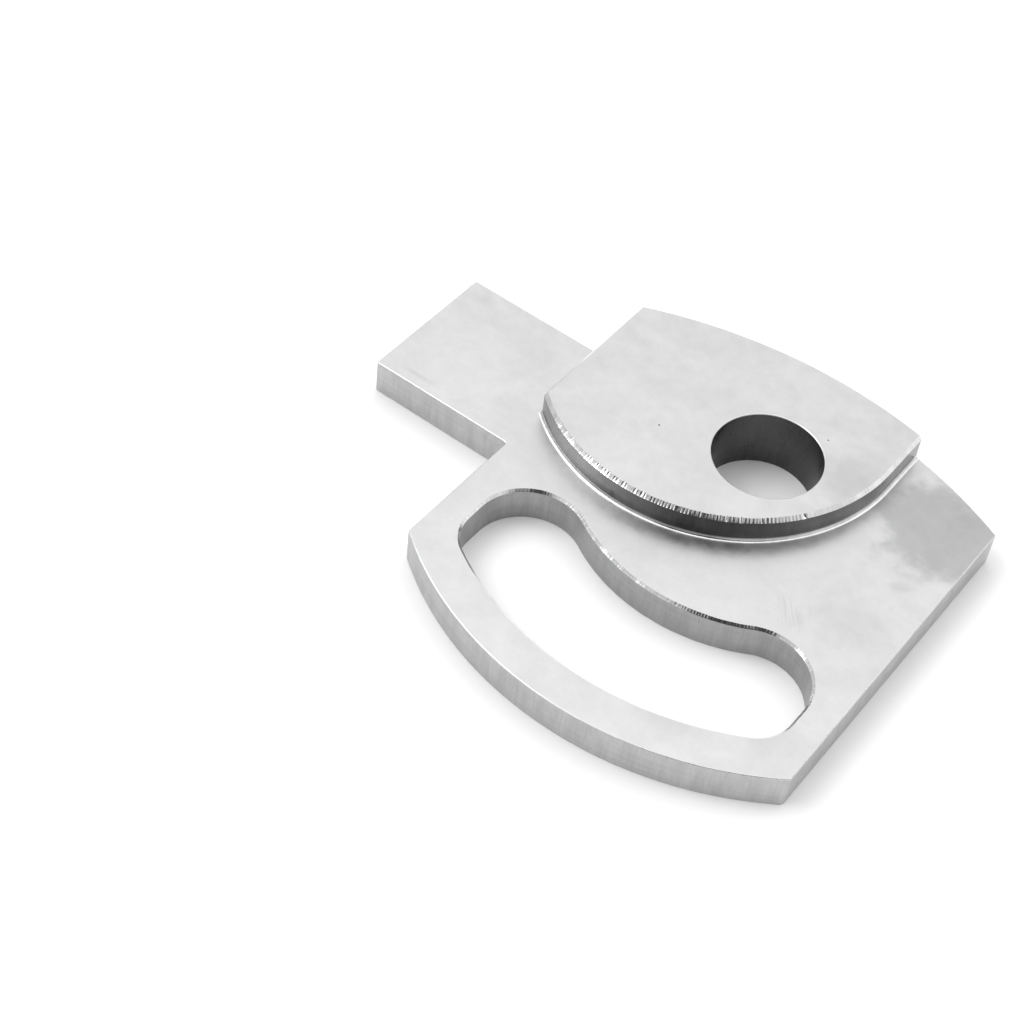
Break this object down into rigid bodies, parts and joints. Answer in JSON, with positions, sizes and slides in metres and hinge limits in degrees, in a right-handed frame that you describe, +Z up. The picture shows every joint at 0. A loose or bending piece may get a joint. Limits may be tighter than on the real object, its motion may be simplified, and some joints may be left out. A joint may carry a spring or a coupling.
{
  "type": "slotted sector plate",
  "caption": "Flat milled aluminium sector plate with a rectangular tab, a raised pad around a through-bore, and a bean-shaped through-slot along its curved front edge.",
  "frame": {"origin": "on the bore axis at the underside", "axes": "+Z up through the bore to the raised pad; +Y to the convex back edge; +X away from the tab"},
  "size_m": [0.083, 0.069, 0.0095],
  "materials": {
    "aluminium": "satin, as milled and deburred"
  },
  "bodies": {
    "root": {"slotted_plate": "aluminium"}
  },
  "joints": []
}
